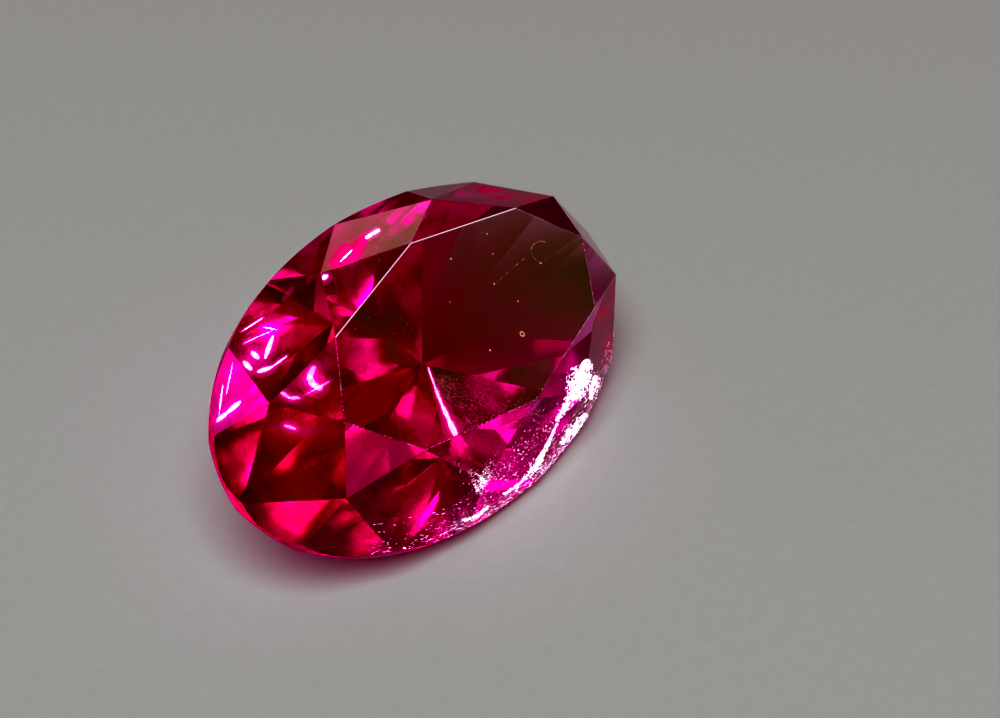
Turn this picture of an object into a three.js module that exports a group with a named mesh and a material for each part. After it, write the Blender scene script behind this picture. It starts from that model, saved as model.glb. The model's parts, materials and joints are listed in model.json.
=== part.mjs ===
// A faceted oval ruby: one crystal cut as an oval brilliant, lying on a flat facet of its pavilion.
// Crown and pavilion are worked out in the cutter's own frame first: X along the stone, Y across it,
// Z up through the middle of the table, and height 0 at the top of the girdle.
import * as THREE from 'three';
import { mergeVertices } from 'three/addons/utils/BufferGeometryUtils.js';

// Outline, in millimetres
const LENGTH = 14.0;
const WIDTH = 8.0;
const GIRDLE_THICKNESS = 0.34;

// Crown, in millimetres above the girdle
const TABLE_LENGTH = 9.6;
const TABLE_WIDTH = 4.75;
const CROWN_HEIGHT = 1.75;

// Pavilion, in millimetres below the girdle
const PAVILION_DEPTH = 3.2;

// Directions of the four corners, in degrees round the oval from its long axis
const TABLE_CORNER = 42.5;
const GIRDLE_CORNER = 47.5;

// How far the four corner kites are turned off the oval's own direction, in degrees
const CORNER_TURN = 2.5;

// How far down the crown the star facets reach, as shares of its height, near the ends and the sides
const STAR_DROP_END = 0.36;
const STAR_DROP_SIDE = 0.42;

// How far down the pavilion the lower halves reach, as a share of its depth
const LOWER_HALF_DROP = 0.75;

// Straight steps in each of the sixteen stretches of the round girdle
const GIRDLE_STEPS = 8;

const FACETS = 8;
const END = 0;
const CORNER = 1;
const SIDE = 2;
const UP = new THREE.Vector3(0, 0, 1);

function radians(degrees) {
  return THREE.MathUtils.degToRad(degrees);
}

// The eight directions of the cut: the ends, the sides and the four corners between them
function cutAngles(corner) {
  const quarter = Math.PI / 2;
  const turn = radians(corner);
  return [0, turn, quarter, 2 * quarter - turn, 2 * quarter, 2 * quarter + turn, 3 * quarter, -turn];
}

function ovalPoint(angle, height, length = LENGTH, width = WIDTH) {
  return new THREE.Vector3(length / 2 * Math.cos(angle), width / 2 * Math.sin(angle), height);
}

function ovalTangent(angle) {
  return new THREE.Vector3(-LENGTH * Math.sin(angle), WIDTH * Math.cos(angle), 0).normalize();
}

function planeThrough(first, second, third) {
  return new THREE.Plane().setFromCoplanarPoints(first, second, third);
}

// The flat through two points that runs along a direction
function planeAlong(first, second, direction) {
  return planeThrough(first, second, first.clone().add(direction));
}

function heightOnPlane(plane, x, y) {
  return -(plane.constant + plane.normal.x * x + plane.normal.y * y) / plane.normal.z;
}

// The point at one height where two flats cross
function crossing(first, second, height) {
  const a = first.normal;
  const b = second.normal;
  const p = -first.constant - a.z * height;
  const q = -second.constant - b.z * height;
  const across = a.x * b.y - a.y * b.x;
  return new THREE.Vector3((p * b.y - q * a.y) / across, (q * a.x - p * b.x) / across, height);
}

// Copies a value of the first quarter to the eight gaps between the directions of the cut
function mirroredGaps(nearEnd, nearSide) {
  const quarter = [nearEnd, nearSide];
  return Array.from({ length: FACETS }, (_, gap) => {
    const point = quarter[[0, 1, 1, 0][gap % 4]].clone();
    if (gap >= 2 && gap < 6) point.x = -point.x;
    if (gap >= 4) point.y = -point.y;
    return point;
  });
}

function crownPoints() {
  const tableAngles = cutAngles(TABLE_CORNER);
  const table = tableAngles.map((angle) => ovalPoint(angle, CROWN_HEIGHT, TABLE_LENGTH, TABLE_WIDTH));
  const girdleAngles = cutAngles(GIRDLE_CORNER);
  const kites = [END, CORNER, SIDE].map((index) => {
    const turn = index === CORNER ? radians(CORNER_TURN) : 0;
    const along = ovalTangent(girdleAngles[index]).applyAxisAngle(UP, turn);
    return planeAlong(table[index], ovalPoint(girdleAngles[index], 0), along);
  });
  const nearEnd = crossing(kites[END], kites[CORNER], CROWN_HEIGHT * (1 - STAR_DROP_END));
  const nearSide = crossing(kites[CORNER], kites[SIDE], CROWN_HEIGHT * (1 - STAR_DROP_SIDE));
  return { table, starTips: mirroredGaps(nearEnd, nearSide) };
}

function pavilionPoints() {
  const edge = -GIRDLE_THICKNESS;
  const culet = new THREE.Vector3(0, 0, edge - PAVILION_DEPTH);
  const girdleAngles = cutAngles(GIRDLE_CORNER);
  const mains = [END, CORNER, SIDE].map((index) => {
    const angle = girdleAngles[index];
    return planeAlong(culet, ovalPoint(angle, edge), ovalTangent(angle));
  });
  const height = edge - PAVILION_DEPTH * LOWER_HALF_DROP;
  const nearEnd = crossing(mains[END], mains[CORNER], height);
  const nearSide = crossing(mains[CORNER], mains[SIDE], height);
  return { culet, halfTips: mirroredGaps(nearEnd, nearSide) };
}

// The sixteen stretches of the girdle, each with the crown half and the pavilion half that meet it
function girdleStretches(crown, pavilion) {
  const ends = cutAngles(GIRDLE_CORNER);
  const stretches = [];
  for (let gap = 0; gap < FACETS; gap += 1) {
    const star = crown.starTips[gap];
    const middle = Math.atan2(star.y / WIDTH, star.x / LENGTH);
    const next = ends[(gap + 1) % FACETS];
    stretches.push({ gap, from: ends[gap], to: middle });
    stretches.push({ gap, from: middle, to: next });
  }
  return stretches.map(({ gap, from, to }) => {
    const turn = Math.atan2(Math.sin(to - from), Math.cos(to - from));
    const upperTip = crown.starTips[gap];
    const lowerTip = pavilion.halfTips[gap];
    const foot = -GIRDLE_THICKNESS;
    const upper = planeThrough(upperTip, ovalPoint(from, 0), ovalPoint(to, 0));
    const lower = planeThrough(lowerTip, ovalPoint(from, foot), ovalPoint(to, foot));
    const steps = Array.from({ length: GIRDLE_STEPS + 1 }, (_, step) => step / GIRDLE_STEPS);
    const rim = steps.map((share) => ovalPoint(from + turn * share, 0));
    const edgeOn = (plane) => rim.map(({ x, y }) => new THREE.Vector3(x, y, heightOnPlane(plane, x, y)));
    return { upperTip, lowerTip, upperEdge: edgeOn(upper), lowerEdge: edgeOn(lower) };
  });
}

// Adds one flat facet, as triangles fanned from its first corner and facing away from the stone's middle
function addFacet(positions, corners) {
  const [apex, ...rest] = corners;
  for (let i = 0; i < rest.length - 1; i += 1) {
    const normal = planeThrough(apex, rest[i], rest[i + 1]).normal;
    const outward = apex.clone().add(rest[i]).add(rest[i + 1]).setZ(apex.z + GIRDLE_THICKNESS / 2);
    const triangle = normal.dot(outward) > 0 ? [apex, rest[i], rest[i + 1]] : [apex, rest[i + 1], rest[i]];
    triangle.forEach((corner) => positions.push(corner.x, corner.y, corner.z));
  }
}

function addCrown(positions, crown, girdle) {
  addFacet(positions, crown.table);
  for (let index = 0; index < FACETS; index += 1) {
    const before = crown.starTips[(index + FACETS - 1) % FACETS];
    const after = crown.starTips[index];
    const foot = girdle[2 * index].upperEdge[0];
    addFacet(positions, [crown.table[index], before, foot, after]);
    addFacet(positions, [crown.table[index], after, crown.table[(index + 1) % FACETS]]);
  }
  girdle.forEach(({ upperTip, upperEdge }) => addFacet(positions, [upperTip, ...upperEdge]));
}

function addGirdle(positions, girdle) {
  girdle.forEach(({ upperEdge, lowerEdge }) => {
    for (let step = 0; step < GIRDLE_STEPS; step += 1) {
      const top = [upperEdge[step], upperEdge[step + 1]];
      const bottom = [lowerEdge[step + 1], lowerEdge[step]];
      addFacet(positions, [...top, ...bottom]);
    }
  });
}

function addPavilion(positions, pavilion, girdle) {
  for (let index = 0; index < FACETS; index += 1) {
    const before = pavilion.halfTips[(index + FACETS - 1) % FACETS];
    const after = pavilion.halfTips[index];
    const head = girdle[2 * index].lowerEdge[0];
    addFacet(positions, [pavilion.culet, before, head, after]);
  }
  girdle.forEach(({ lowerTip, lowerEdge }) => addFacet(positions, [lowerTip, ...lowerEdge]));
}

function stoneGeometry() {
  const crown = crownPoints();
  const pavilion = pavilionPoints();
  const girdle = girdleStretches(crown, pavilion);
  const positions = [];
  addCrown(positions, crown, girdle);
  addGirdle(positions, girdle);
  addPavilion(positions, pavilion, girdle);
  const geometry = new THREE.BufferGeometry();
  geometry.setAttribute('position', new THREE.Float32BufferAttribute(positions, 3));
  return mergeVertices(geometry, 1e-4);
}

// Tips the stone over until the pavilion's long side facet lies flat, then sets it down on the
// ground with the middle of its footprint over the origin
function layDown(stone) {
  stone.rotation.x = Math.atan2(PAVILION_DEPTH, WIDTH / 2);
  stone.updateMatrixWorld(true);
  const box = new THREE.Box3().setFromObject(stone, true);
  const middle = box.getCenter(new THREE.Vector3());
  stone.position.set(-middle.x, -middle.y, -box.min.z);
}

function rubyMesh() {
  const material = new THREE.MeshStandardMaterial({ color: 0xa8002f, roughness: 0.06, metalness: 0 });
  const stone = new THREE.Mesh(stoneGeometry(), material);
  stone.name = 'ruby';
  layDown(stone);
  return stone;
}

const object = new THREE.Group();
object.add(rubyMesh());

export default object;
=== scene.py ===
import json
import math
import random

import bmesh
import bpy
from bpy.props import FloatProperty, FloatVectorProperty, IntProperty, PointerProperty
from mathutils import Matrix, Vector
from mathutils.bvhtree import BVHTree

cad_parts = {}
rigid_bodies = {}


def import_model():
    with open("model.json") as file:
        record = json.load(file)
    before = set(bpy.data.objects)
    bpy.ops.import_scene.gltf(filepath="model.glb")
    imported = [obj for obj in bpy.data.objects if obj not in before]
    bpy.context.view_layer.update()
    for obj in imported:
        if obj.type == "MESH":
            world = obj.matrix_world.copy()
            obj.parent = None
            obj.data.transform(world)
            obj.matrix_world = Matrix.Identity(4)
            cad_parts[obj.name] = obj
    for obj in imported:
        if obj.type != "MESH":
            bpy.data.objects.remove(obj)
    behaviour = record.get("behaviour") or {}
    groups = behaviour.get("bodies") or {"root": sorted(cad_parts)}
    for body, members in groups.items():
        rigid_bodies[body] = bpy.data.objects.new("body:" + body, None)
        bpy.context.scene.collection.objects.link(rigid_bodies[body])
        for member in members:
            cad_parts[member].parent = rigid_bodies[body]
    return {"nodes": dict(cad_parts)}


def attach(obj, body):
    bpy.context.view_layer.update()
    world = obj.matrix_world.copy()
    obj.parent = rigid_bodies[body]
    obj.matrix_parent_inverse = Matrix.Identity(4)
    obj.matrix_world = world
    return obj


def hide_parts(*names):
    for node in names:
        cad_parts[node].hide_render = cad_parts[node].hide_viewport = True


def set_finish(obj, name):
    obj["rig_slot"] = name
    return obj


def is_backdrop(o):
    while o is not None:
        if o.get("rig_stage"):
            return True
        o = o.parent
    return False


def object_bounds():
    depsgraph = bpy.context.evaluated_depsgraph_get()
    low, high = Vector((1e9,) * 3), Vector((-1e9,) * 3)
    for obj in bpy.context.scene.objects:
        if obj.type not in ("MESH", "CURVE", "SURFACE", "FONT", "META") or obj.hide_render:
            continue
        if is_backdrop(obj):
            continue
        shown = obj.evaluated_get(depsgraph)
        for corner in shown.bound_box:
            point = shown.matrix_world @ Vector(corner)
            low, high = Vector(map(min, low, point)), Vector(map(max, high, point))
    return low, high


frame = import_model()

bl_info = {
    "name": "Faceted Oval Ruby",
    "version": (1, 0, 0),
    "blender": (4, 5, 0),
    "location": "3D View > Sidebar > Ruby",
    "description": "Dresses a cut ruby with its crystal, worn edges, scratches and dust, on a pale floor",
    "category": "Object",
}

MM = 0.001
NODE = "ruby"
BODY = "root"
SLOT = "ruby_crystal"
CAD_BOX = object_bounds()
UP = Vector((0, 0, 1))
LENGTHWISE = Vector((1, 0, 0))

# The table's own size in millimetres, its corners, and the stone's length for each width
TABLE_LENGTH = 9.6
TABLE_WIDTH = 4.75
CORNERS = 8
LENGTH_TO_WIDTH = 14 / 8
# Corners nearer than this many millimetres are one, and facets within this angle of each other too
MERGED = 1e-4
FLAT_WITHIN = math.radians(0.4)
CUT_TOLERANCE = 1e-7

# Cosines between facets and the table: the girdle's are below this, the crown's above, the pavilion's below
GIRDLE_SLOPE = 0.05
CROWN_SLOPE = 0.3
PAVILION_SLOPE = -0.1

# How white the wear is on the crown's edges, the table's, its two bright ones and at the knocked corner
EDGE_WEAR = 0.25
TABLE_WEAR = 0.36
BRIGHT_WEAR = 1.0
KNOCK_WEAR = 0.30

# Lumps of the crystal's finer marks, and the reach of the specks round the knocked corner, in millimetres
GRAIN = 0.05
WAVE_LENGTH = 1.2
WAVE_HEIGHT = 0.010
DIRT_CLOUD = 0.7
STREAK = 0.045
STREAK_PATCH = 0.8
SPECK = 0.028
SPECKS_REACH = 0.9
# Streaks are drawn out along the stone, and noise shows as a mark above its own level
DRAWN_OUT = (0.15, 1.0, 1.0)
DIRT_FROM = 0.35
STREAKS_FROM = 1.10
SPECKS_FROM = 0.80

# Pink of the dirt, rim haze and thin clouds: partly their own colour, partly the stone's red inner glow
# painted on them
FILM_AND_GLOW_COLOUR = (0.8, 0.26, 0.44)
# Pink-white of the rim scratches and scuffs: partly their own colour, partly a painted highlight band and
# flare along the rim
SCRATCH_AND_HIGHLIGHT_COLOUR = (1.0, 0.58, 0.78)
SILK_COLOUR = (1.0, 0.74, 0.86)
FIBRE_COLOUR = (0.80, 0.66, 0.66)
# The mottling of dust and scratches: its size, and the share of light of its dark places
MOTTLE = 0.02 * MM
MOTTLE_SHADE = 0.7

# The photograph's frame, in pixels, and the camera that the stone's corners were fitted with
PHOTO_WIDTH = 1000
PHOTO_HEIGHT = 718
CAMERA_PLACE = Vector((-25.25, -18.91, 25.40)) * MM
CAMERA_AZIMUTH = math.radians(-146.17)
CAMERA_ELEVATION = math.radians(35.93)
CAMERA_ROLL = math.radians(1.825)
CAMERA_LENS_MM = 56.83
SENSOR_MM = 36.0
FOCAL_PIXELS = CAMERA_LENS_MM / SENSOR_MM * PHOTO_WIDTH
CLIPPED_BEFORE = 1.0 * MM
CLIPPED_BEHIND = 5.0

# Corners of the table, counted round it from the stone's far end
FAR_END, FAR_LEFT, LEFT_SIDE, NEAR_LEFT, NEAR_END, NEAR_RIGHT, RIGHT_SIDE, FAR_RIGHT = range(CORNERS)

# Stretches counted the same way: dirt and ripples on the pavilion, haze and scratches at the rim, which also
# paint a highlight band there
VEILED = (2.5, 7.5)
RIPPLED = (2.4, 3.9)
HAZED_AND_HIGHLIT = (4.9, 7.2)
SCRATCHED_AND_HIGHLIT = (4.9, 7.1)
# How softly these stretches end, and how much more the rippled one waves than the rest
STRETCH_FADE = 0.6
RIPPLE_FADE = 0.7
SCRATCH_FADE = 1.0
MORE_WAVES = 1.6

# The floor's grey, which the contrast leaves as it is, and the brightness where the glow begins and its size
FLOOR_GREY = 0.28
GLOW_FROM = 0.8
GLOW_SIZE = 0.3

# How far the floor lies below the stone, its tooth's size and depth, and its darker places' share of light
FLOOR_DROP = 0.02 * MM
TOOTH = 0.35 * MM
TOOTH_DEPTH = 0.03 * MM
FLOOR_SHADE = 0.94
FLOOR_SIDES = 128
ROOM_COLOUR = (1.0, 0.97, 0.92)

# Soft lamps: azimuth and elevation in degrees, half-angle of their spread, and light of each colour
LAMP_DISTANCE = 0.6
FLOOR_LAMP = (-150, 62, 22, (3.0, 3.0, 3.0))
DUST_LAMP = (285, 40, 25, (8.0, 5.5, 5.0))
MARKS_LAMP = (285, 40, 25, (18.0, 15.0, 17.0))
# The pieces that the last two light
DUST = ("table_dust", "fibre")
MARKS = ("corner_chips", "rim_scratches", "thin_clouds", "silk_needles")
# Lamps of one even light for single facets. The table's is green, and turns the red of its window brown from
# the photograph's side. From behind it shows green in a few facets of the crown.
CARDS = {
    "table_card": (328, 36, 15, (0.08, 0.85, 0.02)),
    "kite_card": (45, 20, 10, (1.1, 1.15, 0.7)),
    "half_card": (271, 24, 8, (2.0, 0.4, 1.4)),
}
# The stone's other lamps, which fade outwards in parts
STONE_LAMPS = {
    "top_lamp": (111, 84, 14, (1.7, 1.6, 1.8)),
    "flare_lamp": (125, 52, 9, (1.2, 1.2, 1.2)),
    "far_lamp": (1, 34, 9, (9.0, 8.0, 9.5)),
    "near_lamp": (352, 43, 8, (2.0, 1.9, 2.2)),
    "star_lamp": (283, 50, 7, (0.45, 0.45, 0.5)),
    "low_lamp": (329, 9, 7, (4.6, 4.6, 4.6)),
    "wedge_lamp": (104, 35, 9, (1.1, 0.5, 0.9)),
    "rim_lamp": (270, 64, 10, (1.05, 1.1, 1.1)),
    "front_lamp": (236, 44, 12, (1.3, 1.3, 1.3)),
    "streak_lamp": (312, 20, 11, (1.1, 1.1, 1.1)),
    "side_low_lamp": (282, 18, 12, (2.9, 2.9, 3.0)),
}
# Each part's share of a stone lamp's spread and of its light
LAMP_PARTS = (("core", 0.4, 4.0), ("body", 0.8, 0.5), ("halo", 1.3, 0.14))

# Pixels of the photograph where small things lie on the table, and where a hair lies on the girdle
RING_PIXEL = (522, 334)
DUST_PIXELS = [
    (518, 301), (450, 302), (451, 259), (487, 234),
    (541, 263), (494, 284), (490, 350), (493, 254),
]
SCRATCH_PIXELS = [(494, 284), (505, 275), (515, 266), (525, 258)]
ARC_PIXELS = [(541, 264), (534, 258), (531, 250), (534, 244), (541, 241), (548, 243)]
FIBRE_PIXELS = [(219, 390), (216, 392), (212, 394), (210, 399)]
# Middle and ends of the burst of chips at the knocked corner
BURST_PIXEL = (481, 479)
BURST_ENDS = [
    (505, 441), (494, 452), (462, 462), (448, 460), (460, 487),
    (484, 512), (512, 476), (472, 498), (497, 492),
]

# Long narrow lamps that the facets mirror, as strokes through pixels with each point's width in pixels
MIRRORED = [
    [(428, 367, 1.4), (435, 387, 2.4), (442, 405, 3.6), (449, 420, 5), (456, 436, 7)],
    [(314, 367, 5), (309, 377, 7), (313, 385, 8), (321, 388, 5)],
    [(280, 391, 3), (289, 398, 4), (300, 398, 3)],
    [(305, 395, 2.5), (330, 381, 1.5)],
    [(273, 336, 4), (265, 358, 5)],
    [(252, 352, 4), (258, 358, 6)],
    [(244, 362, 5), (251, 369, 5)],
    [(258, 372, 5), (272, 367, 3), (287, 356, 1.5)],
    [(262, 327, 3), (278, 330, 2)],
    [(241, 332, 1.5), (264, 317, 1.2)],
    [(243, 344, 1.5), (257, 337, 2), (272, 331, 1.5)],
    [(217, 421, 3), (228, 412, 5), (240, 402, 4)],
    [(219, 414, 1.5), (223, 384, 2)],
    [(226, 395, 1.5), (233, 362, 2)],
    [(379, 230, 1.5), (372, 234, 3.2), (366, 238, 1.5)],
    [(352, 250, 1.2), (340, 262, 0.8)],
    [(327, 276, 4), (321, 279, 5)],
    [(284, 425, 3), (296, 429, 4)],
]
# Wide soft patches that the facets mirror, as strokes of the same kind
MIRRORED_PATCHES = [
    [(236, 398, 16), (252, 366, 34), (266, 338, 34), (286, 318, 12)],
    [(284, 300, 4), (292, 288, 4)],
    [(270, 396, 6), (300, 382, 18), (326, 366, 10)],
    [(276, 428, 14), (300, 431, 28), (334, 431, 12)],
]
# Each part's share of a stroke's width, how many widths longer it is than the stroke, and its light
MIRRORED_PARTS = (
    ("core", 1.0, 0.5, (15.0, 16.0, 15.0)),
    ("body", 1.9, 1.0, (6.0, 2.6, 5.0)),
    ("halo", 3.6, 2.5, (2.0, 0.3, 1.3)),
)
PATCH_PARTS = (
    ("innermost", 0.4, 0.4, (1.3, 0.55, 1.0)),
    ("inner", 0.7, 0.6, (1.3, 0.4, 0.85)),
    ("middle", 1.0, 0.8, (1.1, 0.22, 0.65)),
    ("outer", 1.4, 1.1, (0.8, 0.12, 0.42)),
    ("outermost", 2.0, 1.6, (0.45, 0.06, 0.22)),
)

# Dense scuffs on the crown's right rim, as strokes of the same kind. They are painted highlights: the flare,
# two small bright ovals and the bright band along the rim.
PAINTED_FLARE_SCUFFS = [
    [(588, 360, 4), (584, 372, 17), (578, 387, 22), (571, 399, 9), (556, 421, 3)],
    [(596, 376, 5), (594, 386, 7), (590, 398, 3)],
    [(586, 414, 4), (578, 424, 9), (570, 434, 9), (561, 444, 3)],
    [(557, 424, 2), (548, 444, 4), (540, 459, 6), (533, 471, 6), (522, 480, 2)],
    [(522, 481, 2), (515, 488, 4), (503, 494, 2)],
    [(488, 506, 2), (482, 513, 4), (470, 519, 3), (462, 520, 2)],
]
# Thin clouds of very fine scratches, as wide strokes of the same kind. Their pink is partly painted glow, on
# the table, the left of the crown and the rim, and a painted sheen on one crown facet.
CLOUDS_AND_PAINTED_GLOW = [
    [(436, 378, 14), (470, 404, 40), (505, 415, 44), (540, 412, 20)],
    [(462, 420, 20), (478, 428, 24)],
    [(345, 262, 14), (380, 240, 30), (400, 228, 34)],
    [(224, 404, 16), (236, 370, 26), (262, 336, 40), (280, 316, 20)],
    [(505, 478, 30), (535, 450, 34), (560, 415, 30)],
    [(430, 530, 24), (475, 512, 30), (510, 485, 26)],
]
# For both kinds of scratches: least and greatest length and width in millimetres, and how far they slant
PAINTED_FLARE_SIZES = ((0.03, 0.10), (0.016, 0.034), 0.15)
CLOUD_SIZES = ((0.015, 0.09), (0.003, 0.008), 0.5)
# How far the scratches stray from a stroke's line, for each width of it
STRAY = 0.30

# The same for the scratches that run along the rim and for the needles of silk
RIM_SCRATCH_SIZES = ((0.02, 0.14), (0.008, 0.022))
SILK_SIZES = ((0.02, 0.11), (0.012, 0.026))
# Rim scratches: how fast they thin out inwards, the furthest one in millimetres, and how far they slant
RIM_CROWDING = 2.6
RIM_REACH = 0.9
RIM_SLANT = 0.09
# Their share at the ends of the scratched stretch
FEWEST = 0.25
# Needles of silk: how they crowd at the knocked corner, and how far they reach past it and before it
SILK_CROWDING = 1.7
SILK_REACH = 0.8
SILK_BEFORE = 0.08
# How far they lie to the side and scatter there, how they slant and tilt, and how deep they sit
SILK_ASIDE = 0.15
SILK_SCATTER = 0.25
SILK_SLANT = 0.6
SILK_TILT = 0.05
SILK_DEPTH = 0.004
# Chips: how they crowd in the middle of the burst, how wide an arm is there and widens, and how they shrink
CHIP_CROWDING = 2.2
ARM_WIDTH = 1.0
ARM_WIDENS = 1.6
CHIP_SHRINK = 0.5
# Smallest and largest grain of each kind, as shares of the fleck size
DUST_GRAINS = (1.2, 2.0)
GRIT_GRAINS = (0.4, 0.9)
LOOSE_GRAINS = (0.25, 0.7)
CHIP_GRAINS = (0.15, 0.7)
# How much longer than wide grains are
DUST_STRETCH = 1.5
GRIT_STRETCH = 1.6
LOOSE_STRETCH = (1, 2.5)
CHIP_STRETCH = (1, 2)
LOOSE_FLECKS = 160
# Places along each part of a row of grit, and the share of them that hold a grain
GRIT_STEPS = 9
GRIT_SHARE = 0.5
# Half-widths of the round rim's circle and of its bead, and of the hair, in millimetres
RING_RADIUS = 0.060
RING_BEAD = 0.015
FIBRE_RADIUS = 0.007
ROUND_SIDES = 6
# How far from the table's middle the loose flecks reach, as a share of the way to its edge
LOOSE_REACH = 0.9
SEEDS = {"dust": 7, "silk": 11, "scratches": 3, "clouds": 13, "chips": 5}
ROUGHNESS = {"dust": 0.9, "silk": 0.4, "scratches": 0.5, "clouds": 0.5, "chips": 0.5, "fibre": 0.6}


# Sizes and colours that a user would change

class CrystalSettings(bpy.types.PropertyGroup):
    refraction: FloatProperty(
        name="Refractive index", description="How strongly the crystal bends light",
        default=1.765, min=1.0, max=3.0)
    absorbed: FloatVectorProperty(
        name="Body colour", description="What the crystal lets through of each colour",
        default=(0.962, 0.58, 0.83), min=0.0, max=1.0, size=3, subtype="COLOR")
    depth_of_colour: FloatProperty(
        name="Depth of colour", description="Absorption of the colour taken up most, for each metre",
        default=800.0, min=0.0)
    sheen: FloatVectorProperty(
        name="Sheen colour", description="Colour of what the facets mirror when seen straight on",
        default=(1.0, 0.30, 0.55), min=0.0, max=1.0, size=3, subtype="COLOR")
    girdle_roughness: FloatProperty(
        name="Girdle roughness", description="Roughness of the bruted girdle",
        default=0.22, min=0.0, max=1.0, subtype="FACTOR")
    back_roughness: FloatProperty(
        name="Pavilion roughness", description="Roughness of the worn facets on the stone's underside",
        default=0.12, min=0.0, max=1.0, subtype="FACTOR")


class WearSettings(bpy.types.PropertyGroup):
    edge_width: FloatProperty(
        name="Facet edge wear", description="Width of the worn line along a crown edge",
        default=0.014 * MM, min=0.0, unit="LENGTH")
    table_width: FloatProperty(
        name="Table edge wear", description="Width of the worn line round the table",
        default=0.020 * MM, min=0.0, unit="LENGTH")
    bright_width: FloatProperty(
        name="Bright edge wear", description="Width of the two whitest worn edges of the table",
        default=0.032 * MM, min=0.0, unit="LENGTH")
    knock_width: FloatProperty(
        name="Knocked corner wear", description="Width of the wear where edges meet at the knocked corner",
        default=0.05 * MM, min=0.0, unit="LENGTH")
    veil: FloatProperty(
        name="Pavilion dirt", description="Share of the pavilion that thin dirt covers",
        default=0.20, min=0.0, max=1.0, subtype="FACTOR")
    # The rim's streaks are partly a painted highlight band
    haze: FloatProperty(
        name="Rim haze", description="How strongly white streaks cover the crown's right rim",
        default=0.4, min=0.0, max=1.0, subtype="FACTOR")
    frost: FloatVectorProperty(
        name="Frost colour", description="Colour of the abraded edges",
        default=(0.98, 0.80, 0.82), min=0.0, max=1.0, size=3, subtype="COLOR")


class DustSettings(bpy.types.PropertyGroup):
    fleck_size: FloatProperty(
        name="Fleck size", description="Typical size of a dust fleck on the table",
        default=0.030 * MM, min=0.0, unit="LENGTH")
    needles: IntProperty(
        name="Silk needles", description="Number of fine needles round the knocked corner",
        default=420, min=0)
    chips: FloatProperty(
        name="Corner chips", description="Chips for each pixel of the photograph along each arm of the burst",
        default=1.6, min=0.0)
    # The rim scratches are partly a painted highlight band
    scratches: IntProperty(
        name="Rim scratches", description="Number of fine white scratches along the crown's right rim",
        default=850, min=0)
    # The scuffs are painted highlights: the flare and the bright band along the rim
    painted_flare_density: FloatProperty(
        name="Scuff density", description="Scratches for each square pixel of the photograph in the scuffs",
        default=1.2, min=0.0)
    # The clouds are partly painted glow and sheen
    cloud_and_glow_density: FloatProperty(
        name="Cloud density", description="Scratches for each square pixel of the photograph in the clouds",
        default=0.35, min=0.0)
    dust_colour: FloatVectorProperty(
        name="Dust colour", description="Colour of the dust on the table",
        default=(0.58, 0.33, 0.26), min=0.0, max=1.0, size=3, subtype="COLOR")


class StageSettings(bpy.types.PropertyGroup):
    floor_colour: FloatVectorProperty(
        name="Floor colour", description="Colour of the pale floor",
        default=(0.80, 0.79, 0.77), min=0.0, max=1.0, size=3, subtype="COLOR")
    floor_radius: FloatProperty(
        name="Floor radius", description="Radius of the round floor",
        default=0.6, min=0.01, unit="LENGTH")
    surroundings: FloatProperty(
        name="Surroundings", description="Brightness of the room round the floor",
        default=0.007, min=0.0)
    black: FloatVectorProperty(
        name="Black level", description="Light of each colour that the picture shows as black",
        default=(0.002, 0.000, 0.023), min=0.0, max=0.1, size=3)
    glow: FloatProperty(
        name="Glow", description="Strength of the glow round the brightest highlights",
        default=0.3, min=0.0, max=1.0, subtype="FACTOR")
    saturation: FloatProperty(
        name="Saturation", description="Colour strength of the finished picture",
        default=1.1, min=0.0, max=2.0)
    contrast: FloatVectorProperty(
        name="Contrast", description="How much steeper each colour's tones are than the floor's grey",
        default=(1.25, 1.8, 1.7), min=0.5, max=3.0, size=3)


# Shader graphs: sockets that take part in Python expressions

class Value:
    """A node's output, with operators that add the Math nodes they stand for."""

    def __init__(self, graph, socket):
        self.graph = graph
        self.socket = socket

    def math(self, operation, *others):
        settings = {"operation": operation}
        return self.graph.add("ShaderNodeMath", settings, dict(enumerate((self, *others))))

    def vector(self, operation, *others, out="Vector"):
        settings = {"operation": operation}
        return self.graph.add("ShaderNodeVectorMath", settings, dict(enumerate((self, *others))), out)

    def __add__(self, other):
        return self.math("ADD", other)

    __radd__ = __add__

    def __sub__(self, other):
        return self.math("SUBTRACT", other)

    def __rsub__(self, other):
        return self.math("MULTIPLY", -1.0) + other

    def __mul__(self, other):
        return self.math("MULTIPLY", other)

    __rmul__ = __mul__

    def __truediv__(self, other):
        return self.math("DIVIDE", other)

    def __rtruediv__(self, other):
        return self.graph.add("ShaderNodeMath", {"operation": "DIVIDE"}, {0: other, 1: self})

    def clamped(self):
        return self.graph.add("ShaderNodeClamp", None, {"Value": self})


class Graph:
    """The nodes of one material, of the world or of the finished picture."""

    def __init__(self, owner):
        owner.use_nodes = True
        self.nodes = owner.node_tree.nodes
        self.links = owner.node_tree.links
        self.nodes.clear()

    def add(self, kind, settings=None, sockets=None, out=0):
        """Adds a node, sets its settings, then the values or links of its sockets."""
        node = self.nodes.new(kind)
        for name, value in (settings or {}).items():
            setattr(node, name, value)
        for name, value in (sockets or {}).items():
            socket = node.inputs[name]
            if isinstance(value, Value):
                self.links.new(value.socket, socket)
            else:
                socket.default_value = value
        return Value(self, node.outputs[out]) if node.outputs else node

    def noise(self, place, size, detail=2.0):
        """Noise whose lumps are about one size across, in metres."""
        sockets = {"Vector": place, "Scale": 1 / size, "Detail": detail}
        return self.add("ShaderNodeTexNoise", None, sockets, "Fac")

    def mix_colour(self, share, first, second):
        sockets = {"Factor": share, "A": first, "B": second}
        return self.add("ShaderNodeMix", {"data_type": "RGBA"}, sockets, "Result")

    def mix_shader(self, share, first, second):
        return self.add("ShaderNodeMixShader", None, {0: share, 1: first, 2: second})


def rgba(colour):
    return (*colour, 1.0)


# The crystal's material

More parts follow.
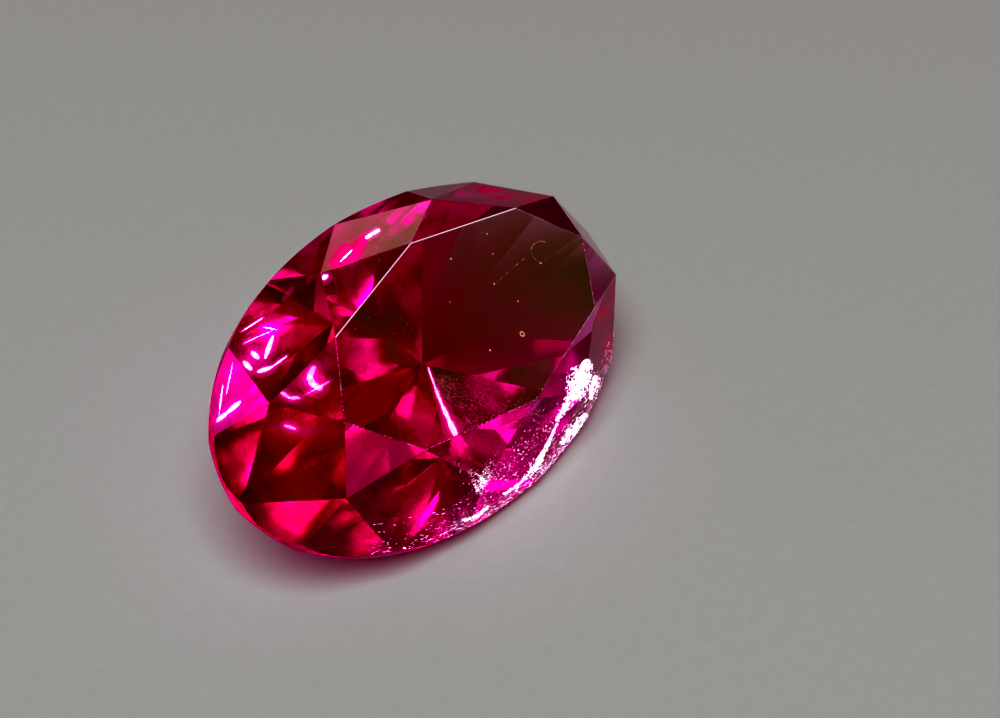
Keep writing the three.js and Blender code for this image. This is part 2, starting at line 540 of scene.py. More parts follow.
def stone_material(crystal, wear, corner):
    """Clear ruby with frosted worn edges and a scuffed corner, by plain transmission and absorption; its dirt
    and rim haze take a pink that paints the stone's inner glow.
    """
    material = bpy.data.materials.new("ruby_crystal")
    graph = Graph(material)
    place = graph.add("ShaderNodeTexCoord", out="Object")
    worn = graph.add("ShaderNodeAttribute", {"attribute_name": "wear"}, out="Fac")
    girdle = graph.add("ShaderNodeAttribute", {"attribute_name": "girdle"}, out="Fac")

    grain = graph.noise(place, GRAIN * MM)
    edge_frost = ((worn * 1.5 + grain - 1.0) * 5).clamped()
    # The pavilion's dirt and the rim's haze; the haze is partly a painted highlight band
    dirt = pavilion_dirt_and_rim_highlight(graph, place, wear)
    share = (edge_frost + corner_scuffs(graph, place, corner) + dirt).clamped()
    waves = graph.add("ShaderNodeAttribute", {"attribute_name": "waves"}, out="Fac")
    wave = {"Distance": WAVE_HEIGHT * MM, "Height": waves * graph.noise(place, WAVE_LENGTH * MM, 1.0)}
    wavy = graph.add("ShaderNodeBump", None, {"Strength": 1.0, **wave})

    polished = graph.add("ShaderNodeBsdfPrincipled", None, {
        "Base Color": (1.0, 1.0, 1.0, 1.0),
        "Roughness": girdle * crystal.girdle_roughness + waves.clamped() * crystal.back_roughness,
        "IOR": crystal.refraction,
        "Specular Tint": rgba(crystal.sheen),
        "Transmission Weight": 1.0,
        "Normal": wavy,
    })
    frosted = graph.add("ShaderNodeBsdfPrincipled", None, {
        # Where dirt and haze lie, the frost turns the pink that paints the stone's inner glow
        "Base Color": graph.mix_colour(dirt.clamped(), rgba(wear.frost), rgba(FILM_AND_GLOW_COLOUR)),
        "Roughness": 0.6,
    })
    surface = graph.mix_shader(share, polished, frosted)
    depth = graph.add("ShaderNodeVolumeAbsorption", None, {
        "Color": rgba(crystal.absorbed),
        "Density": crystal.depth_of_colour,
    })
    graph.add("ShaderNodeOutputMaterial", None, {"Surface": surface, "Volume": depth})
    return material


def pavilion_dirt_and_rim_highlight(graph, place, wear):
    """Thin cloudy dirt on the pavilion, and fine white streaks along the crown's right rim, partly haze and
    partly a painted highlight band.
    """
    veil = graph.add("ShaderNodeAttribute", {"attribute_name": "veil"}, out="Fac")
    haze = graph.add("ShaderNodeAttribute", {"attribute_name": "haze"}, out="Fac")
    cloud = graph.noise(place, DIRT_CLOUD * MM, 4.0)
    specks = graph.noise(place, GRAIN * MM, 2.0)
    thin = veil * wear.veil * ((cloud - DIRT_FROM) * 4).clamped() * (specks + 0.5)
    drawn_out = place.vector("MULTIPLY", DRAWN_OUT)
    streaks = graph.noise(drawn_out, STREAK * MM, 2.0)
    patches = graph.noise(place, STREAK_PATCH * MM, 2.0)
    # The rim's streaks, as a painted highlight band
    white = ((streaks + haze * 0.45 + patches * 0.6 - STREAKS_FROM) * 4).clamped()
    return thin + wear.haze * white * haze


def corner_scuffs(graph, place, corner):
    """White specks that crowd round the corner where the stone was knocked."""
    away = place.vector("DISTANCE", corner, out="Value") / (SPECKS_REACH * MM)
    near = (1.0 - away).clamped()
    specks = graph.noise(place, SPECK * MM, 1.0)
    return ((specks + near * near * 0.30 - SPECKS_FROM) * 12).clamped()


# The stone's shape, in millimetres

class Cut:
    """The CAD solid as flat facets, with the places on them that the looks need."""

    def __init__(self):
        self.shape = bmesh.new()
        self.shape.from_mesh(frame["nodes"][NODE].data)
        self.shape.transform(Matrix.Scale(1 / MM, 4))
        bmesh.ops.remove_doubles(self.shape, verts=self.shape.verts, dist=MERGED)
        bmesh.ops.dissolve_limit(
            self.shape, angle_limit=FLAT_WITHIN, verts=self.shape.verts, edges=self.shape.edges)
        self.shape.normal_update()
        self.worn = self.shape.faces.layers.float.new("wear")
        self.girdle = self.shape.faces.layers.float.new("girdle")
        self.veil = self.shape.verts.layers.float.new("veil")
        self.haze = self.shape.verts.layers.float.new("haze")
        self.waves = self.shape.verts.layers.float.new("waves")
        self.table = max(self.shape.faces, key=lambda face: face.calc_area())
        self.axis = self.table.normal.copy()
        self.middle = self.table.calc_center_median()
        self.corners = sorted(self.table.verts, key=lambda corner: self.turn(corner.co))

    def turn(self, point):
        """How far round the oval a point lies, as a corner's number: 0 at the far end, 2 at the left side."""
        offset = point - self.middle
        across = offset.dot(self.axis.cross(LENGTHWISE)) * LENGTH_TO_WIDTH
        share = math.atan2(across, offset.dot(LENGTHWISE)) / math.tau
        return (share * CORNERS + 0.5) % CORNERS - 0.5

    def table_edge(self, first, last):
        ends = {self.corners[first], self.corners[last]}
        return next(edge for edge in self.table.edges if set(edge.verts) == ends)

    def star_tip(self, first, last):
        """The outer corner of the star facet beside one edge of the table."""
        edge = self.table_edge(first, last)
        star = next(face for face in edge.link_faces if face is not self.table)
        return next(corner for corner in star.verts if corner not in edge.verts)

    def girdle_facets(self):
        return [face for face in self.shape.faces if abs(face.normal.dot(self.axis)) < GIRDLE_SLOPE]


class Chamfer:
    """A narrow flat that wear has cut along an edge, with its own width at each end."""

    def __init__(self, edge, widths, wear):
        faces = [face.normal.copy() for face in edge.link_faces]
        outward = (faces[0] + faces[1]).normalized()
        slope = math.tan(faces[0].angle(faces[1]) / 2)
        low = [end.co - outward * width * slope / 2 for end, width in zip(edge.verts, widths)]
        across = outward.cross(edge.verts[1].co - edge.verts[0].co)
        normal = across.cross(low[1] - low[0]).normalized()
        self.normal = normal if normal.dot(outward) > 0 else -normal
        self.point = low[0]
        self.wear = wear

    def cut(self, shape, layer):
        everything = shape.verts[:] + shape.edges[:] + shape.faces[:]
        bmesh.ops.bisect_plane(
            shape, geom=everything, dist=CUT_TOLERANCE,
            plane_co=self.point, plane_no=self.normal, clear_outer=True)
        rim = [edge for edge in shape.edges if edge.is_boundary]
        for face in bmesh.ops.holes_fill(shape, edges=rim, sides=0)["faces"]:
            face[layer] = self.wear


def worn_edges(cut, wear):
    """The chamfers of the crown: widest at the table's two bright edges and round the knocked corner."""
    bright = {cut.table_edge(FAR_LEFT, LEFT_SIDE), cut.table_edge(LEFT_SIDE, NEAR_LEFT)}
    knocked = cut.star_tip(NEAR_RIGHT, RIGHT_SIDE)
    chamfers = []
    for edge in cut.shape.edges:
        if min(face.normal.dot(cut.axis) for face in edge.link_faces) < CROWN_SLOPE:
            continue
        width = wear.edge_width / MM
        strength = EDGE_WEAR
        if edge in bright:
            width = wear.bright_width / MM
            strength = BRIGHT_WEAR
        elif edge in cut.table.edges:
            width = wear.table_width / MM
            strength = TABLE_WEAR
        widths = [wear.knock_width / MM if end is knocked else width for end in edge.verts]
        chamfers.append(Chamfer(edge, widths, KNOCK_WEAR if knocked in edge.verts else strength))
    return chamfers


def stone_mesh(cut, wear):
    """The facets with the crown's edges worn, and attributes that tell the material what is where."""
    for face in cut.girdle_facets():
        face[cut.girdle] = 1.0
    for vertex in cut.shape.verts:
        slopes = [face.normal.dot(cut.axis) for face in vertex.link_faces]
        number = cut.turn(vertex.co)
        if min(slopes) < PAVILION_SLOPE:
            vertex[cut.veil] = between(number, VEILED, STRETCH_FADE)
            vertex[cut.waves] = 1.0 + MORE_WAVES * between(number, RIPPLED, RIPPLE_FADE)
        elif min(slopes) < GIRDLE_SLOPE:
            # Rim haze, partly a painted highlight band
            vertex[cut.haze] = between(number, HAZED_AND_HIGHLIT, STRETCH_FADE)
    for chamfer in worn_edges(cut, wear):
        chamfer.cut(cut.shape, cut.worn)
    return finished_mesh("ruby_stone", cut.shape)


def between(number, ends, fade):
    """One inside a range and nothing outside it, with a fade at both ends."""
    inside = min(number - ends[0], ends[1] - number) / fade
    return min(max(inside, 0.0), 1.0)


def finished_mesh(name, shape):
    """Turns millimetres to metres and hands the shape to a mesh."""
    shape.transform(Matrix.Scale(MM, 4))
    shape.normal_update()
    mesh = bpy.data.meshes.new(name)
    shape.to_mesh(mesh)
    shape.free()
    return mesh


def piece(name, mesh, material):
    """An object that rides on the stone's body and takes its finish from the record's slot."""
    thing = bpy.data.objects.new(name, mesh)
    mesh.materials.append(material)
    bpy.context.scene.collection.objects.link(thing)
    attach(thing, BODY)
    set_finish(thing, SLOT)
    return thing


class RUBY_OT_crystal(bpy.types.Operator):
    """Makes the cut crystal with its worn edges and its see-through material"""
    bl_idname = "ruby.crystal"
    bl_label = "Cut the Crystal"

    def execute(self, context):
        scene = context.scene
        cut = Cut()
        corner = cut.star_tip(NEAR_RIGHT, RIGHT_SIDE).co * MM
        material = stone_material(scene.ruby_crystal, scene.ruby_wear, corner)
        stone = piece("ruby_stone", stone_mesh(cut, scene.ruby_wear), material)
        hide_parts(NODE)
        return {"FINISHED"}


# The camera, and what it sees at a pixel of the photograph

def camera_axes():
    """The camera's right, up and backward directions."""
    level = Vector((math.cos(CAMERA_AZIMUTH), math.sin(CAMERA_AZIMUTH), 0))
    back = level * math.cos(CAMERA_ELEVATION) + UP * math.sin(CAMERA_ELEVATION)
    flat_right = UP.cross(back).normalized()
    flat_up = back.cross(flat_right)
    right = flat_right * math.cos(CAMERA_ROLL) + flat_up * math.sin(CAMERA_ROLL)
    return right, back.cross(right), back


def direction_of_pixel(pixel):
    """The direction in which the camera sees a pixel."""
    right, up, back = camera_axes()
    x = pixel[0] - PHOTO_WIDTH / 2
    y = PHOTO_HEIGHT / 2 - pixel[1]
    return (right * x + up * y - back * FOCAL_PIXELS).normalized()


# Dust, chips, scratches, silk and a hair, in millimetres; the scratches also paint highlights, glow and sheen

def add_fleck(shape, place, size, turn, stretch=1.0):
    """A small uneven grain, flattened, with its longest side along the turn's own X."""
    reach = Vector((stretch, 1.0, 0.5)) * size / 2
    corners = []
    for axis in range(3):
        for end in (-1, 1):
            offset = Vector((0, 0, 0))
            offset[axis] = end * reach[axis] * random.uniform(0.75, 1.25)
            corners.append(shape.verts.new(place + turn @ offset))
    left, right, front, back, bottom, top = corners
    for first, last in ((left, front), (front, right), (right, back), (back, left)):
        shape.faces.new((first, last, top))
        shape.faces.new((last, first, bottom))


def add_needle(shape, place, direction, length, width):
    """A fine needle, pointed at both ends."""
    turn = direction.to_track_quat("Z", "Y").to_matrix()
    tips = [shape.verts.new(place + turn @ Vector((0, 0, end * length / 2))) for end in (-1, 1)]
    belt = []
    for step in range(3):
        outward = on_circle(step, 3)
        belt.append(shape.verts.new(place + turn @ outward * width / 2))
    for step in range(3):
        following = belt[(step + 1) % 3]
        shape.faces.new((tips[1], belt[step], following))
        shape.faces.new((tips[0], following, belt[step]))


def on_circle(step, steps):
    """One of the evenly spaced points of a circle of radius 1."""
    angle = math.tau * step / steps
    return Vector((math.cos(angle), math.sin(angle), 0))


def add_tube(shape, path, radius):
    """A thin fibre along a path, closed at both ends."""
    rings = []
    for number, place in enumerate(path):
        before = path[max(number - 1, 0)]
        after = path[min(number + 1, len(path) - 1)]
        turn = (after - before).to_track_quat("Z", "Y").to_matrix()
        offsets = [on_circle(side, ROUND_SIDES) * radius for side in range(ROUND_SIDES)]
        rings.append([shape.verts.new(place + turn @ offset) for offset in offsets])
    for first, last in zip(rings, rings[1:]):
        for side in range(ROUND_SIDES):
            following = (side + 1) % ROUND_SIDES
            shape.faces.new((first[side], first[following], last[following], last[side]))
    shape.faces.new(reversed(rings[0]))
    shape.faces.new(rings[-1])


def smooth_path(points, steps=6):
    """A smooth curve through points."""
    path = []
    for number in range(len(points) - 1):
        before = points[max(number - 1, 0)]
        start, end = points[number], points[number + 1]
        after = points[min(number + 2, len(points) - 1)]
        for step in range(steps):
            share = step / steps
            bend = (end - before) * share * (1 - share) ** 2 - (after - start) * share ** 2 * (1 - share)
            path.append(start.lerp(end, share * share * (3 - 2 * share)) + bend / 2)
    return path + [points[-1]]


def seen_on(pixel, place, normal):
    """Where the camera's ray through a pixel meets a plane, in millimetres."""
    start = CAMERA_PLACE / MM
    direction = direction_of_pixel(pixel)
    return start + direction * (place - start).dot(normal) / direction.dot(normal)


def seen_on_crown(skin, pixel):
    """Where the camera's ray through a pixel meets the stone, with the facet's direction there."""
    place, outward, _, _ = skin.ray_cast(CAMERA_PLACE / MM, direction_of_pixel(pixel))
    return place, outward


def plain_material(name, colour):
    """A matt material with a little mottling."""
    material = bpy.data.materials.new(name)
    graph = Graph(material)
    place = graph.add("ShaderNodeTexCoord", out="Object")
    mottle = graph.noise(place, MOTTLE)
    dark = rgba([channel * MOTTLE_SHADE for channel in colour])
    surface = graph.add("ShaderNodeBsdfPrincipled", None, {
        "Base Color": graph.mix_colour(mottle, dark, rgba(colour)),
        "Roughness": ROUGHNESS[name],
    })
    graph.add("ShaderNodeOutputMaterial", None, {"Surface": surface})
    return material


def table_turn(cut, angle):
    """A turn whose Z stands on the table and whose X lies in it."""
    along = Matrix.Rotation(angle, 3, cut.axis) @ LENGTHWISE
    return Matrix((along, cut.axis.cross(along), cut.axis)).transposed()


def dust_mesh(cut, dust):
    """Flecks, a small round rim, and the rows of grit in a scratch and an arc, all on the table."""
    random.seed(SEEDS["dust"])
    shape = bmesh.new()
    size = dust.fleck_size / MM
    for pixel in DUST_PIXELS:
        place = seen_on(pixel, cut.middle, cut.axis)
        grain = size * random.uniform(*DUST_GRAINS)
        add_fleck(shape, place, grain, table_turn(cut, random.uniform(0, math.pi)), DUST_STRETCH)
    for pixels in (SCRATCH_PIXELS, ARC_PIXELS):
        path = smooth_path([seen_on(pixel, cut.middle, cut.axis) for pixel in pixels], GRIT_STEPS)
        for place in path:
            if random.random() < GRIT_SHARE:
                grain = size * random.uniform(*GRIT_GRAINS)
                add_fleck(shape, place, grain, table_turn(cut, random.uniform(0, math.pi)), GRIT_STRETCH)
    turn = table_turn(cut, 0)
    for _ in range(LOOSE_FLECKS):
        angle = random.uniform(0, math.tau)
        reach = math.sqrt(random.random()) * LOOSE_REACH
        share = Vector((math.cos(angle) * TABLE_LENGTH, math.sin(angle) * TABLE_WIDTH, 0)) / 2 * reach
        grain = size * random.uniform(*LOOSE_GRAINS)
        add_fleck(shape, cut.middle + turn @ share, grain, turn, random.uniform(*LOOSE_STRETCH))
    add_ring(shape, seen_on(RING_PIXEL, cut.middle, cut.axis), turn)
    return finished_mesh("table_dust", shape)


def add_ring(shape, place, turn, steps=20):
    """A small round rim that lies flat."""
    rings = []
    for step in range(steps):
        outward = on_circle(step, steps)
        ring = []
        for side in range(ROUND_SIDES):
            around = on_circle(side, ROUND_SIDES)
            offset = outward * around.x + UP * around.y
            ring.append(shape.verts.new(place + turn @ (outward * RING_RADIUS + offset * RING_BEAD)))
        rings.append(ring)
    for step in range(steps):
        first, last = rings[step], rings[(step + 1) % steps]
        for side in range(ROUND_SIDES):
            following = (side + 1) % ROUND_SIDES
            shape.faces.new((first[side], last[side], last[following], first[following]))


def silk_mesh(cut, dust):
    """Fine needles that crowd at the knocked corner and thin out along the crown towards its far right."""
    lengths, widths = SILK_SIZES
    random.seed(SEEDS["silk"])
    shape = bmesh.new()
    skin = BVHTree.FromBMesh(cut.shape)
    start = cut.star_tip(NEAR_RIGHT, RIGHT_SIDE)
    run = cut.star_tip(RIGHT_SIDE, FAR_RIGHT).co - start.co
    sideways = run.cross(cut.axis).normalized()
    for _ in range(dust.needles):
        along = random.random() ** SILK_CROWDING * SILK_REACH - SILK_BEFORE
        aside = random.gauss(SILK_ASIDE, SILK_SCATTER + SILK_SCATTER * along)
        near = start.co + run * along + sideways * aside
        place, outward, _, _ = skin.find_nearest(near)
        direction = run.normalized() + sideways * random.gauss(0, SILK_SLANT)
        direction += outward * random.gauss(0, SILK_TILT)
        place -= outward * SILK_DEPTH
        length = random.uniform(*lengths)
        add_needle(shape, place, direction.normalized(), length, random.uniform(*widths))
    return finished_mesh("silk_needles", shape)


def rim_edges(cut, ends):
    """The crown's edges along the girdle within a stretch of the stone, each with the facet above it."""
    found = []
    for edge in cut.shape.edges:
        slopes = [face.normal.dot(cut.axis) for face in edge.link_faces]
        number = cut.turn(edge.verts[0].co.lerp(edge.verts[1].co, 0.5))
        if ends[0] < number < ends[1] and -GIRDLE_SLOPE < min(slopes) < GIRDLE_SLOPE < max(slopes):
            found.append((edge, max(edge.link_faces, key=lambda face: face.normal.dot(cut.axis))))
    return found


def scratches_and_highlight_mesh(cut, dust):
    """Fine white scratches that run along the girdle, thickest right beside it, and the scuffs there;
    together they are partly real scratches and partly a painted highlight band and flare along the rim.
    """
    random.seed(SEEDS["scratches"])
    shape = bmesh.new()
    lengths, widths = RIM_SCRATCH_SIZES
    rims = rim_edges(cut, SCRATCHED_AND_HIGHLIT)
    shares = []
    for edge, _ in rims:
        crowding = between(cut.turn(edge.verts[0].co), SCRATCHED_AND_HIGHLIT, SCRATCH_FADE)
        shares.append(edge.calc_length() * (FEWEST + (1 - FEWEST) * crowding))
    for _ in range(dust.scratches):
        edge, facet = random.choices(rims, shares)[0]
        start, end = [vertex.co for vertex in edge.verts]
        run = (end - start).normalized()
        inward = facet.normal.cross(run)
        if inward.dot(facet.calc_center_median() - start) < 0:
            inward = -inward
        place = start.lerp(end, random.random())
        place += inward * min(random.expovariate(RIM_CROWDING), RIM_REACH)
        direction = run + inward * random.gauss(0, RIM_SLANT)
        length = random.uniform(*lengths)
        add_needle(shape, place, direction.normalized(), length, random.uniform(*widths))
    skin = BVHTree.FromBMesh(cut.shape)
    for stroke in PAINTED_FLARE_SCUFFS:
        add_painted_light_scratches(shape, skin, stroke, dust.painted_flare_density, PAINTED_FLARE_SIZES)
    return finished_mesh("rim_scratches", shape)


def clouds_and_glow_mesh(cut, dust):
    """Thin clouds of the finest scratches on the table and the crown, whose pink is partly painted glow and
    sheen.
    """
    random.seed(SEEDS["clouds"])
    shape = bmesh.new()
    skin = BVHTree.FromBMesh(cut.shape)
    for stroke in CLOUDS_AND_PAINTED_GLOW:
        add_painted_light_scratches(shape, skin, stroke, dust.cloud_and_glow_density, CLOUD_SIZES)
    return finished_mesh("thin_clouds", shape)


def beside_line(first, last, share, offset):
    """The pixel at a share of the way between two pixels, moved sideways by an offset."""
    run_x = last[0] - first[0]
    run_y = last[1] - first[1]
    reach = math.hypot(run_x, run_y)
    x = first[0] + run_x * share + offset * run_y / reach
    y = first[1] + run_y * share - offset * run_x / reach
    return x, y


def add_painted_light_scratches(shape, skin, stroke, density, sizes):
    """Short scratches crowded along a stroke, so many to each square pixel of it; the strokes place them as
    painted highlights, glow and sheen.
    """
    lengths, widths, slant = sizes
    for (*first, first_width), (*last, last_width) in zip(stroke, stroke[1:]):
        start, _ = seen_on_crown(skin, first)
        end, _ = seen_on_crown(skin, last)
        run = (end - start).normalized()
        area = math.dist(first, last) * (first_width + last_width) / 2
        for _ in range(int(area * density)):
            share = random.random()
            offset = random.gauss(0, STRAY) * (first_width + (last_width - first_width) * share)
            place, outward = seen_on_crown(skin, beside_line(first, last, share, offset))
            if place is None:
                continue
            direction = run + outward.cross(run).normalized() * random.gauss(0, slant)
            length = random.uniform(*lengths)
            add_needle(shape, place, direction.normalized(), length, random.uniform(*widths))


def chips_mesh(cut, dust):
    """White chips in a burst round the knocked corner, fewer and smaller further out."""
    random.seed(SEEDS["chips"])
    shape = bmesh.new()
    skin = BVHTree.FromBMesh(cut.shape)
    size = dust.fleck_size / MM
    for end in BURST_ENDS:
        for _ in range(int(math.dist(BURST_PIXEL, end) * dust.chips)):
            along = min(random.expovariate(CHIP_CROWDING), random.random() ** 0.5)
            sideways = random.gauss(0, ARM_WIDTH + ARM_WIDENS * along)
            place, outward = seen_on_crown(skin, beside_line(BURST_PIXEL, end, along, sideways))
            turn = outward.to_track_quat("Z", "Y").to_matrix()
            grain = size * random.uniform(*CHIP_GRAINS) * (1 - CHIP_SHRINK * along)
            add_fleck(shape, place, grain, turn, random.uniform(*CHIP_STRETCH))
    return finished_mesh("corner_chips", shape)


def fibre_mesh(cut):
    """A short hair caught on the girdle's near left."""
    shape = bmesh.new()
    first = direction_of_pixel(FIBRE_PIXELS[0])
    start = CAMERA_PLACE / MM
    facets = cut.girdle_facets()
    nearest = min(facets, key=lambda face: (face.calc_center_median() - start).cross(first).length)
    place = nearest.calc_center_median()
    back = camera_axes()[2]
    path = [seen_on(pixel, place, back) for pixel in FIBRE_PIXELS]
    add_tube(shape, smooth_path(path), FIBRE_RADIUS)
    return finished_mesh("fibre", shape)


class RUBY_OT_dust(bpy.types.Operator):
    """Scatters the dust, chips, scratches and silk on the crown, the scratches partly as painted highlights,
    glow and sheen, and lays the hair on the girdle
    """
    bl_idname = "ruby.dust"
    bl_label = "Scatter the Dust and Scratches"

    def execute(self, context):
        dust = context.scene.ruby_dust
        cut = Cut()
        piece("table_dust", dust_mesh(cut, dust), plain_material("dust", dust.dust_colour))
        piece("corner_chips", chips_mesh(cut, dust), plain_material("chips", SILK_COLOUR))
        # The rim scratches and the thin clouds paint highlights, glow and sheen in pink and white
        piece("rim_scratches", scratches_and_highlight_mesh(cut, dust), plain_material("scratches", SCRATCH_AND_HIGHLIGHT_COLOUR))
        piece("thin_clouds", clouds_and_glow_mesh(cut, dust), plain_material("clouds", FILM_AND_GLOW_COLOUR))
        piece("silk_needles", silk_mesh(cut, dust), plain_material("silk", SILK_COLOUR))
        piece("fibre", fibre_mesh(cut), plain_material("fibre", FIBRE_COLOUR))
        cut.shape.free()
        return {"FINISHED"}


# The stage

def add_camera():
    right, up, back = camera_axes()
    data = bpy.data.cameras.new("camera")
    data.lens = CAMERA_LENS_MM
    data.sensor_width = SENSOR_MM
    data.clip_start = CLIPPED_BEFORE
    data.clip_end = CLIPPED_BEHIND
    camera = bpy.data.objects.new("camera", data)
    turn = Matrix((right, up, back)).transposed().to_4x4()
    camera.matrix_world = Matrix.Translation(CAMERA_PLACE) @ turn
    bpy.context.scene.collection.objects.link(camera)
    bpy.context.scene.camera = camera


def add_lamp(name, azimuth, elevation, spread, brightness, lit, shading=None):
    """A round lamp that faces the stone. Its spread is the angle from its middle to its rim."""
    toward = Vector((
        math.cos(math.radians(elevation)) * math.cos(math.radians(azimuth)),
        math.cos(math.radians(elevation)) * math.sin(math.radians(azimuth)),
        math.sin(math.radians(elevation)),
    ))
    size = 2 * LAMP_DISTANCE * math.tan(math.radians(spread))
    middle = (CAD_BOX[0] + CAD_BOX[1]) / 2
    turn = toward.to_track_quat("Z", "Y").to_matrix()
    new_lamp(name, middle + toward * LAMP_DISTANCE, turn, (size, size), brightness, lit, shading)


def new_lamp(name, place, turn, sizes, brightness, lit, shading=None):
    """An oval lamp of the given length and width, with its light in each colour."""
    data = bpy.data.lights.new(name, "AREA")
    data.shape = "ELLIPSE"
    data.size, data.size_y = sizes
    strongest = max(brightness)
    data.color = [channel / strongest for channel in brightness]
    data.energy = strongest * math.pi * math.pi * sizes[0] * sizes[1] / 4
    lamp = bpy.data.objects.new(name, data)
    lamp.matrix_world = Matrix.Translation(place) @ turn.to_4x4()
    bpy.context.scene.collection.objects.link(lamp)
    lamp.light_linking.receiver_collection = lit
    lamp.light_linking.blocker_collection = shading


def add_mirrored_lamps(strokes, parts, lit):
    """Long lamps, each where a facet mirrors it to the camera at its stroke's pixels."""
    cut = Cut()
    skin = BVHTree.FromBMesh(cut.shape)
    reach = LAMP_DISTANCE / MM
    for stroke in strokes:
        for first, last in zip(stroke, stroke[1:]):
            middle = ((first[0] + last[0]) / 2, (first[1] + last[1]) / 2)
            facet, outward = seen_on_crown(skin, middle)
            ends = []
            for pixel in (first, last):
                direction = direction_of_pixel(pixel)
                mirrored = direction - outward * 2 * direction.dot(outward)
                ends.append(seen_on(pixel, facet, outward) + mirrored * reach)
            toward = ((ends[0] + ends[1]) / 2 - facet).normalized()
            along = (ends[1] - ends[0]).normalized()
            across = toward.cross(along).normalized()
            turn = Matrix((across.cross(toward), across, toward)).transposed()
            pixel_size = (reach + (facet - CAMERA_PLACE / MM).length) / FOCAL_PIXELS * MM
            width = (first[2] + last[2]) / 2 * pixel_size
            length = (ends[1] - ends[0]).length * MM
            place = (ends[0] + ends[1]) / 2 * MM
            for part, share, longer, light in parts:
                sizes = (length + width * longer, width * share)
                new_lamp(f"mirrored_{part}", place, turn, sizes, light, lit)
    cut.shape.free()


def gathered(name, things):
    """A collection of the things that a lamp lights alone."""
    collection = bpy.data.collections.new(name)
    for thing in things:
        collection.objects.link(thing)
    return collection


def add_lamps():
    things = bpy.context.scene.objects
    stone = gathered("lit_stone", [thing for thing in things if "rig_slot" in thing])
    floor = gathered("lit_floor", [thing for thing in things if "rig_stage" in thing])
    marks = gathered("lit_marks", [thing for thing in things if thing.name in MARKS])
    dust = gathered("lit_dust", [thing for thing in things if thing.name in DUST])
    add_lamp("floor_lamp", *FLOOR_LAMP, floor)
    add_lamp("marks_lamp", *MARKS_LAMP, marks, marks)
    add_lamp("dust_lamp", *DUST_LAMP, dust, dust)
    add_mirrored_lamps(MIRRORED, MIRRORED_PARTS, stone)
    add_mirrored_lamps(MIRRORED_PATCHES, PATCH_PARTS, stone)
    for name, card in CARDS.items():
        add_lamp(name, *card, stone)
    for name, (azimuth, elevation, spread, brightness) in STONE_LAMPS.items():
        for part, reach, share in LAMP_PARTS:
            colour = [channel * share for channel in brightness]
            add_lamp(f"{name}_{part}", azimuth, elevation, spread * reach, colour, stone)


def floor_material(stage):
    """Matt pale card with a fine tooth."""
    material = bpy.data.materials.new("pale_floor")
    graph = Graph(material)
    place = graph.add("ShaderNodeTexCoord", out="Object")
    tooth = graph.noise(place, TOOTH, 4.0)
    shade = rgba([channel * FLOOR_SHADE for channel in stage.floor_colour])
    colour = graph.mix_colour(tooth, shade, rgba(stage.floor_colour))
    bump = graph.add("ShaderNodeBump", None, {"Strength": 0.25, "Distance": TOOTH_DEPTH, "Height": tooth})
    surface = graph.add("ShaderNodeBsdfPrincipled", None, {
        "Base Color": colour,
        "Roughness": 0.9,
        "Normal": bump,
    })
    graph.add("ShaderNodeOutputMaterial", None, {"Surface": surface})
    return material


def add_floor(stage):
    shape = bmesh.new()
    bmesh.ops.create_circle(shape, cap_ends=True, segments=FLOOR_SIDES, radius=stage.floor_radius)
    mesh = bpy.data.meshes.new("floor")
    shape.to_mesh(mesh)
    shape.free()
    mesh.materials.append(floor_material(stage))
    floor = bpy.data.objects.new("floor", mesh)
    floor.location.z = -FLOOR_DROP
    bpy.context.scene.collection.objects.link(floor)
    floor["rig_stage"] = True


def add_surroundings(stage):
    world = bpy.data.worlds.new("room")
    graph = Graph(world)
    room = graph.add("ShaderNodeBackground", None, {
        "Color": rgba(ROOM_COLOUR),
        "Strength": stage.surroundings,
    })
    graph.add("ShaderNodeOutputWorld", None, {"Surface": room})
    bpy.context.scene.world = world


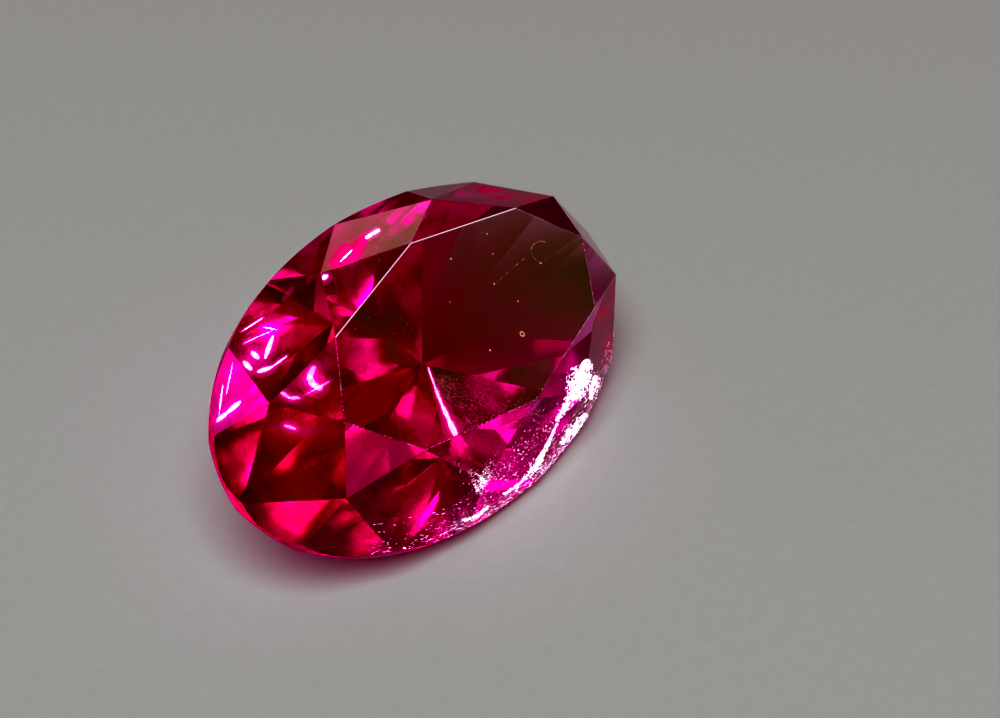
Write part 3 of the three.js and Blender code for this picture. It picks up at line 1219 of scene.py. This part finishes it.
def add_grade(stage):
    """The picture's slight grade, as in the photograph: a soft glow, deeper blacks and fuller colour."""
    scene = bpy.context.scene
    scene.use_nodes = True
    graph = Graph(scene)
    picture = graph.add("CompositorNodeRLayers")
    glow = {"Image": picture, "Threshold": GLOW_FROM, "Strength": stage.glow, "Size": GLOW_SIZE}
    glowing = graph.add("CompositorNodeGlare", {"glare_type": "BLOOM"}, glow)
    balanced = graph.add(
        "CompositorNodeColorBalance", {"correction_method": "OFFSET_POWER_SLOPE"}, {"Image": glowing})
    balanced.socket.node.offset = [-channel for channel in stage.black]
    balanced.socket.node.power = stage.contrast
    balanced.socket.node.slope = [FLOOR_GREY ** (1 / power - 1) for power in stage.contrast]
    full = graph.add("CompositorNodeHueSat", None, {"Image": balanced, "Saturation": stage.saturation})
    graph.add("CompositorNodeComposite", None, {"Image": full})
    scene.view_settings.view_transform = "Standard"


class RUBY_OT_stage(bpy.types.Operator):
    """Sets the pale floor, the soft lamps, the room and the camera"""
    bl_idname = "ruby.stage"
    bl_label = "Set the Stage"

    def execute(self, context):
        stage = context.scene.ruby_stage
        add_camera()
        add_floor(stage)
        add_surroundings(stage)
        add_lamps()
        add_grade(stage)
        return {"FINISHED"}


# The sidebar

class RUBY_PT_panel(bpy.types.Panel):
    bl_label = "Faceted Oval Ruby"
    bl_idname = "RUBY_PT_panel"
    bl_space_type = "VIEW_3D"
    bl_region_type = "UI"
    bl_category = "Ruby"

    def draw(self, context):
        scene = context.scene
        for settings in (scene.ruby_crystal, scene.ruby_wear, scene.ruby_dust, scene.ruby_stage):
            box = self.layout.box()
            for name in settings.__annotations__:
                box.prop(settings, name)
        for operator in OPERATORS:
            self.layout.operator(operator.bl_idname)


SETTINGS = {
    "ruby_crystal": CrystalSettings,
    "ruby_wear": WearSettings,
    "ruby_dust": DustSettings,
    "ruby_stage": StageSettings,
}
OPERATORS = (RUBY_OT_crystal, RUBY_OT_dust, RUBY_OT_stage)


def register():
    for kind in (*SETTINGS.values(), *OPERATORS, RUBY_PT_panel):
        bpy.utils.register_class(kind)
    for name, kind in SETTINGS.items():
        setattr(bpy.types.Scene, name, PointerProperty(type=kind))


def unregister():
    for name in SETTINGS:
        delattr(bpy.types.Scene, name)
    for kind in (RUBY_PT_panel, *reversed(OPERATORS), *reversed(SETTINGS.values())):
        bpy.utils.unregister_class(kind)


def main():
    register()
    bpy.ops.ruby.crystal()
    bpy.ops.ruby.dust()
    bpy.ops.ruby.stage()


if __name__ == "__main__":
    main()
